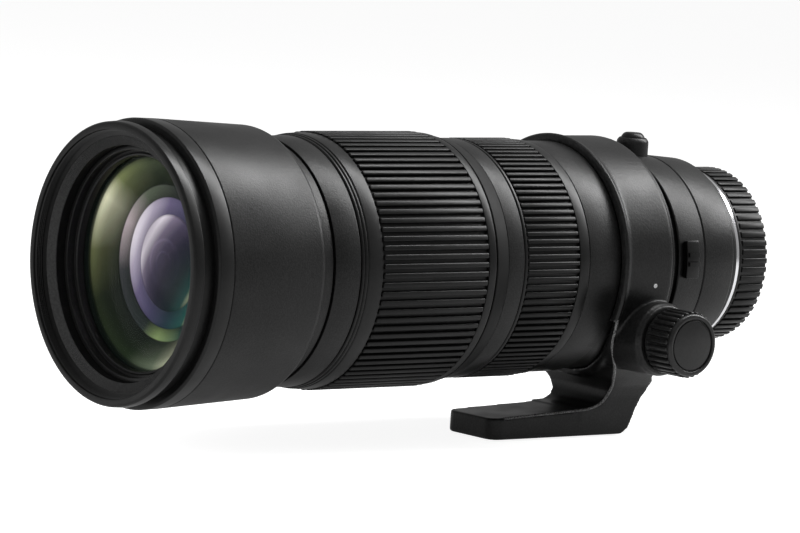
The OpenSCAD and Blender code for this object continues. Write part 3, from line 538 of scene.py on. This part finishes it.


# glass with painted reflections: crescents of painted highlight run round the axis or straight across, and fade between
# the rim and the middle
def paintedReflectionFinish(name, reflectionLook):
    mat, tree, shader = startMaterial(name)
    spot = objectSpot(tree)
    reach = reflectionLook["radius"] * mm
    parts = addNode(tree, "ShaderNodeSeparateXYZ", {"Vector": spot}).outputs
    flat = addNode(tree, "ShaderNodeCombineXYZ", {"X": parts["Y"], "Y": parts["Z"]}).outputs["Vector"]
    if "slant" in reflectionLook:  # straight across the glass
        across = addNode(tree, "ShaderNodeVectorMath", {0: flat, 1: reflectionLook["slant"]}, operation="DOT_PRODUCT")
        place = addNode(tree, "ShaderNodeMapRange", {"Value": across.outputs["Value"], "From Min": -reach,
                                                     "From Max": reach})
    else:  # round the axis, with slightly smeared borders
        smear = noise(tree, spot, 45.0, 1.0)
        angle = addNode(tree, "ShaderNodeTexGradient", {"Vector": flat}, gradient_type="RADIAL")
        place = addNode(tree, "ShaderNodeMath", {0: smear, 1: reflectionLook["smear"], 2: angle.outputs["Fac"]},
                        operation="MULTIPLY_ADD")
    spread = addNode(tree, "ShaderNodeVectorMath", {"Vector": flat}, operation="LENGTH")
    share = addNode(tree, "ShaderNodeMapRange", {"Value": spread.outputs["Value"], "From Max": reach})
    # the ramps paint the lamps' coloured reflections in the coatings into the base colour
    tone = ramp(tree, place.outputs[0], reflectionLook["tones"])
    fade = ramp(tree, share.outputs["Result"], [(p, grey(v)) for p, v in reflectionLook["fade"]])
    mixed = addNode(tree, "ShaderNodeMix", {"Factor": 1.0, 6: tone, 7: fade}, data_type="RGBA",
                    blend_type="MULTIPLY")
    tree.links.new(mixed.outputs[2], shader.inputs["Base Color"])
    shader.inputs["Roughness"].default_value = 0.3
    shader.inputs["Specular IOR Level"].default_value = 0.12
    return mat


def glassDome(name, dome, mat, stands=()):
    apex = Vector((frontX + dome["apex"] * mm, 0, 0))
    bm = bmesh.new()
    start = bm.verts.new(apex)
    bmesh.ops.spin(bm, geom=[start], cent=apex + Vector((dome["curve"] * mm, 0, 0)), axis=(0, 1, 0),
                   angle=math.asin(dome["radius"] / dome["curve"]), steps=24)
    bmesh.ops.spin(bm, geom=bm.verts[:] + bm.edges[:], cent=apex, axis=(1, 0, 0), angle=math.tau, steps=128,
                   use_merge=True)
    bmesh.ops.remove_doubles(bm, verts=bm.verts[:], dist=mergeGap)
    bmesh.ops.recalc_face_normals(bm, faces=bm.faces[:])
    bmesh.ops.solidify(bm, geom=bm.faces[:], thickness=dome["wall"] * mm)
    finishPiece(name, bm, "barrel", mat, stands, sharp=60)


def glassBand(name, front, mat, stands=()):
    # a ring of glass: its front surface, and the same line set back for its rear
    wall = 0.5
    outline = [(s, r, 0) for s, r in front] + [(s + wall, r, 0) for s, r in reversed(front)]
    ringPiece(name, outline, "barrel", mat, stands)


def clearGlass():
    mat, tree, shader = startMaterial("clearGlass")
    spot = objectSpot(tree)
    haze = noise(tree, spot, 80.0, 2.0)
    soft = addNode(tree, "ShaderNodeMapRange", {"Value": haze, "To Min": 0.01, "To Max": 0.04})
    tree.links.new(soft.outputs["Result"], shader.inputs["Roughness"])
    shader.inputs["Base Color"].default_value = (0.02, 0.03, 0.025, 1)
    shader.inputs["Alpha"].default_value = 0.1
    shader.inputs["Specular IOR Level"].default_value = 0.15
    return mat


# painted reflections and painted highlights for each glass surface
greenPaintedReflection = paintedReflectionFinish("greenPaintedReflection", {
    "radius": 33.6, "smear": 0.03,
    "fade": [(0.72, 0.1), (0.8, 0.32), (0.86, 0.5), (0.93, 1.0), (0.96, 0.9), (0.975, 0.15), (1.0, 0.03)],
    "tones": [(0.0, (0.005, 0.006, 0.005)), (0.13, (0.01, 0.02, 0.03)), (0.165, (0.05, 0.1, 0.2)),
              (0.195, (0.6, 0.62, 0.44)), (0.25, (0.12, 0.15, 0.1)), (0.31, (0.01, 0.018, 0.006)),
              (0.44, (0.012, 0.016, 0.006)), (0.52, (0.1, 0.11, 0.045)), (0.605, (0.8, 0.8, 0.56)),
              (0.66, (0.2, 0.23, 0.09)), (0.74, (0.05, 0.065, 0.03)), (0.84, (0.005, 0.006, 0.005)),
              (1.0, (0.005, 0.006, 0.005))]})
greyPaintedReflection = paintedReflectionFinish("greyPaintedReflection", {
    "radius": 24.2, "smear": 0.03,
    "fade": [(0.83, 0.3), (0.9, 0.7), (0.985, 1.0), (1.0, 0.1)],
    "tones": [(0.0, (0.008, 0.012, 0.012)), (0.2, (0.01, 0.04, 0.04)), (0.285, (0.22, 0.3, 0.12)),
              (0.33, (0.015, 0.02, 0.02)), (0.48, (0.03, 0.03, 0.035)), (0.585, (0.5, 0.42, 0.44)),
              (0.68, (0.1, 0.12, 0.08)), (0.8, (0.012, 0.012, 0.015)), (1.0, (0.008, 0.012, 0.012))]})
lilacPaintedReflection = paintedReflectionFinish("lilacPaintedReflection", {
    "radius": 20.3, "slant": (0.9, 0.44, 0),
    "fade": [(0.72, 0.7), (0.9, 1.0), (0.98, 0.9), (1.0, 0.3)],
    "tones": [(0.0, (0.01, 0.03, 0.025)), (0.06, (0.5, 0.52, 0.3)), (0.12, (0.01, 0.07, 0.06)),
              (0.3, (0.01, 0.025, 0.04)), (0.5, (0.05, 0.045, 0.1)), (0.72, (0.13, 0.105, 0.2)),
              (0.88, (0.42, 0.37, 0.48)), (1.0, (0.9, 0.84, 0.92))]})
mauvePaintedReflection = paintedReflectionFinish("mauvePaintedReflection", {
    "radius": 15.0, "slant": (0.8, 0.6, 0),
    "fade": [(0.0, 0.8), (0.2, 0.6), (0.23, 1.0), (0.28, 0.65), (0.44, 0.75), (0.48, 1.0), (0.53, 0.7),
             (0.78, 0.8), (0.95, 1.0), (1.0, 0.4)],
    "tones": [(0.0, (0.3, 0.32, 0.2)), (0.06, (0.01, 0.05, 0.045)), (0.2, (0.008, 0.015, 0.02)),
              (0.4, (0.02, 0.016, 0.035)), (0.58, (0.07, 0.055, 0.1)), (0.74, (0.22, 0.18, 0.26)),
              (0.88, (0.8, 0.74, 0.82)), (1.0, (0.45, 0.4, 0.48))]})
glassDome("frontGlass", {"apex": 8.6, "radius": 33.6, "curve": 110, "wall": 0.6}, clearGlass(), ["front_element"])
glassBand("secondGlass", [(15.4, 33.6), (16.2, 31.0), (18.2, 27.5), (20.5, 24.2)], greenPaintedReflection, ["second_element"])
glassBand("thirdGlass", [(20.6, 24.3), (21.3, 22.2), (21.8, 20.3)], greyPaintedReflection)
glassBand("fourthGlass", [(21.9, 20.4), (22.2, 17.6), (22.3, 14.9)], lilacPaintedReflection)
glassDome("fifthGlass", {"apex": 19.8, "radius": 15.0, "curve": 46, "wall": 0.3}, mauvePaintedReflection)
print("glass ready")

# pieces that keep the frame's own mesh
carried = [
    (chrome, ["mount_plate"]),
    (matteBlack, ["front_cell", "rear_cell", "variator_cell", "compensator_cell", "focus_cell", "rear_baffle"]),
    # the inner elements carry the same painted reflections
    (mauvePaintedReflection, ["relay_element", "rear_element", "variator_element", "compensator_element", "focus_element"]),
    (alloy, ["main_tube", "guide_tube"]),
    (brass, ["cam_tube", "focus_cam", "brake_pad", "contact_block"]),
    (steel, ["tripod_bush", "mount_screws", "variator_pins", "compensator_pins", "focus_pins", "knob_screw",
             "catch_spring", "motor_stator", "motor_rotor"]),
    (blueSteel, ["iris_housing", "iris_ring"] + ["iris_blade_%d" % (i + 1) for i in range(7)]),
    (boardGreen, ["circuit_board"]),
]
for finish, names in carried:
    for name in names:
        useNode(name, finish)


# floor, lamps and world
def seenWhite(tree, share):
    # only what the camera, gloss and glass see is lifted to white, the last two in part
    mirrorShare = 0.35
    path = addNode(tree, "ShaderNodeLightPath").outputs
    mirrored = addNode(tree, "ShaderNodeMath", {0: path["Is Glossy Ray"], 1: path["Is Transmission Ray"]},
                       operation="MAXIMUM").outputs["Value"]
    part = addNode(tree, "ShaderNodeMath", {0: mirrored, 1: mirrorShare}, operation="MULTIPLY").outputs["Value"]
    either = addNode(tree, "ShaderNodeMath", {0: path["Is Camera Ray"], 1: part},
                     operation="MAXIMUM").outputs["Value"]
    return addNode(tree, "ShaderNodeMath", {0: either, 1: share}, operation="MULTIPLY").outputs["Value"]


def makeStage():
    ground = {"size": 30, "gap": 0.0005, "tone": (0.5, 0.5, 0.5, 1), "rough": 0.9, "seen": 0.9}
    bm = bmesh.new()
    bmesh.ops.create_grid(bm, x_segments=1, y_segments=1, size=ground["size"],
                          matrix=Matrix.Translation((0, 0, footZ - ground["gap"])))
    mesh = bpy.data.meshes.new("floor")
    bm.to_mesh(mesh)
    bm.free()
    floor = bpy.data.objects.new("floor", mesh)
    bpy.context.scene.collection.objects.link(floor)
    mat, tree, shader = startMaterial("paleFloor")
    shader.inputs["Base Color"].default_value = ground["tone"]
    shader.inputs["Roughness"].default_value = ground["rough"]
    shader.inputs["Emission Color"].default_value = (1, 1, 1, 1)
    tree.links.new(seenWhite(tree, ground["seen"]), shader.inputs["Emission Strength"])
    mesh.materials.append(mat)


def makeLamp(name, lamp):
    data = bpy.data.lights.new(name, "AREA")
    data.shape = "RECTANGLE"
    data.size, data.size_y = lamp["size"]
    data.energy = lamp["watts"]
    made = bpy.data.objects.new(name, data)
    made.visible_glossy = lamp["mirrored"]
    place = Vector(lamp["place"])
    aim = (Vector(lamp["aim"]) - place).to_track_quat("-Z", "Y")
    made.matrix_world = Matrix.Translation(place) @ aim.to_matrix().to_4x4()
    bpy.context.scene.collection.objects.link(made)


def makeWorld():
    sky = {"seen": 0.95, "light": 0.05}
    world = bpy.data.worlds.new("studio")
    world.use_nodes = True
    tree = world.node_tree
    back = tree.nodes["Background"]
    back.inputs["Color"].default_value = (1, 1, 1, 1)
    lift = addNode(tree, "ShaderNodeMath", {0: seenWhite(tree, sky["seen"]), 1: sky["light"]}, operation="ADD")
    tree.links.new(lift.outputs["Value"], back.inputs["Strength"])
    bpy.context.scene.world = world


makeStage()
makeWorld()
lamps = {
    "topLamp": {"size": (0.32, 1.2), "watts": 18, "place": (0.52, -0.16, 0.77), "aim": (-0.11, 0, 0),
                "mirrored": True},
    "frontLamp": {"size": (0.5, 0.5), "watts": 14, "place": (-1.2, -0.15, 0.35), "aim": (-0.23, 0, 0),
                  "mirrored": False},
}
for name, lamp in lamps.items():
    makeLamp(name, lamp)
bpy.context.scene.view_settings.view_transform = "Standard"
print("stage ready")
